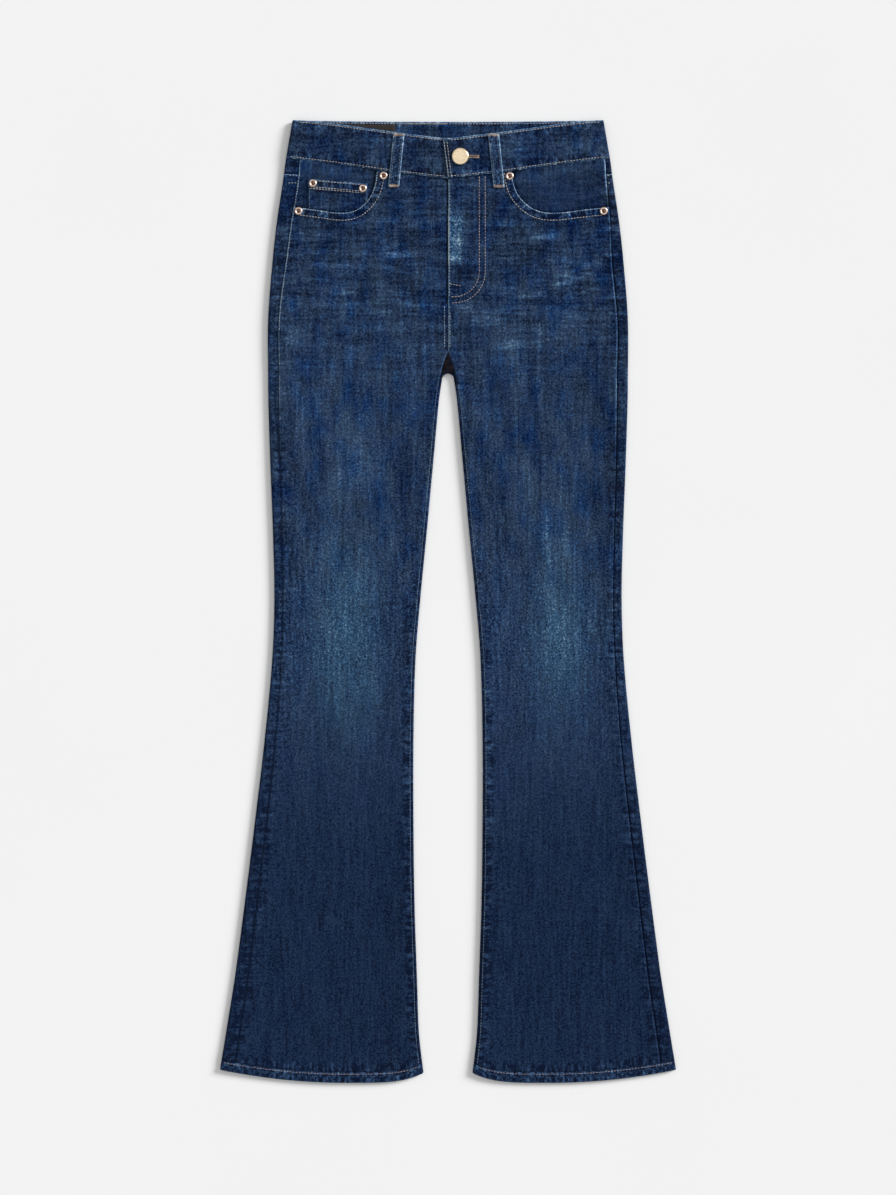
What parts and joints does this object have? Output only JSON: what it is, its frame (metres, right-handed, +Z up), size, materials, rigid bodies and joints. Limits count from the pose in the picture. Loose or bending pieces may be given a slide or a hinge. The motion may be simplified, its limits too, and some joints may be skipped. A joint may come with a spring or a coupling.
{
  "type": "flared denim jeans",
  "caption": "Dark blue flared five-pocket jeans in washed stretch denim, buttoned and laid flat on their back, with faded thighs and knees and a plain metal button.",
  "frame": {"origin": "under the middle of the laid garment, on the surface that it lies on", "axes": "+Y from the hems to the waist, +X to the wearer's left, +Z up off the surface, out of the garment's front"},
  "size_m": [0.502, 1.059, 0.0118],
  "materials": {
    "denim": "matt washed twill",
    "denim_turned": "matt washed twill, worn at its edges",
    "zip_tape": "woven tape",
    "label_cloth": "plain woven label",
    "button_metal": "polished, pale",
    "rivet_metal": "coppery, lightly worn"
  },
  "bodies": {
    "root": {"front_right": "denim", "back_right": "denim", "yoke_right": "denim", "pocket_facing_right": "denim", "hem_right": "denim_turned", "back_pocket_right": "denim", "belt_loop_front_right": "denim_turned", "front_left": "denim", "back_left": "denim", "yoke_left": "denim", "pocket_facing_left": "denim", "hem_left": "denim_turned", "back_pocket_left": "denim", "belt_loop_front_left": "denim_turned", "coin_pocket": "denim", "waistband": "denim", "belt_loop_back_centre": "denim_turned", "belt_loop_back_right": "denim_turned", "belt_loop_back_left": "denim_turned", "fly_shield": "denim", "fly_zip": "zip_tape", "waist_label": "label_cloth", "button": "button_metal", "rivet_waist_right": "rivet_metal", "rivet_waist_left": "rivet_metal", "rivet_side_right": "rivet_metal", "rivet_side_left": "rivet_metal", "rivet_coin_outer": "rivet_metal", "rivet_coin_inner": "rivet_metal"}
  },
  "joints": []
}
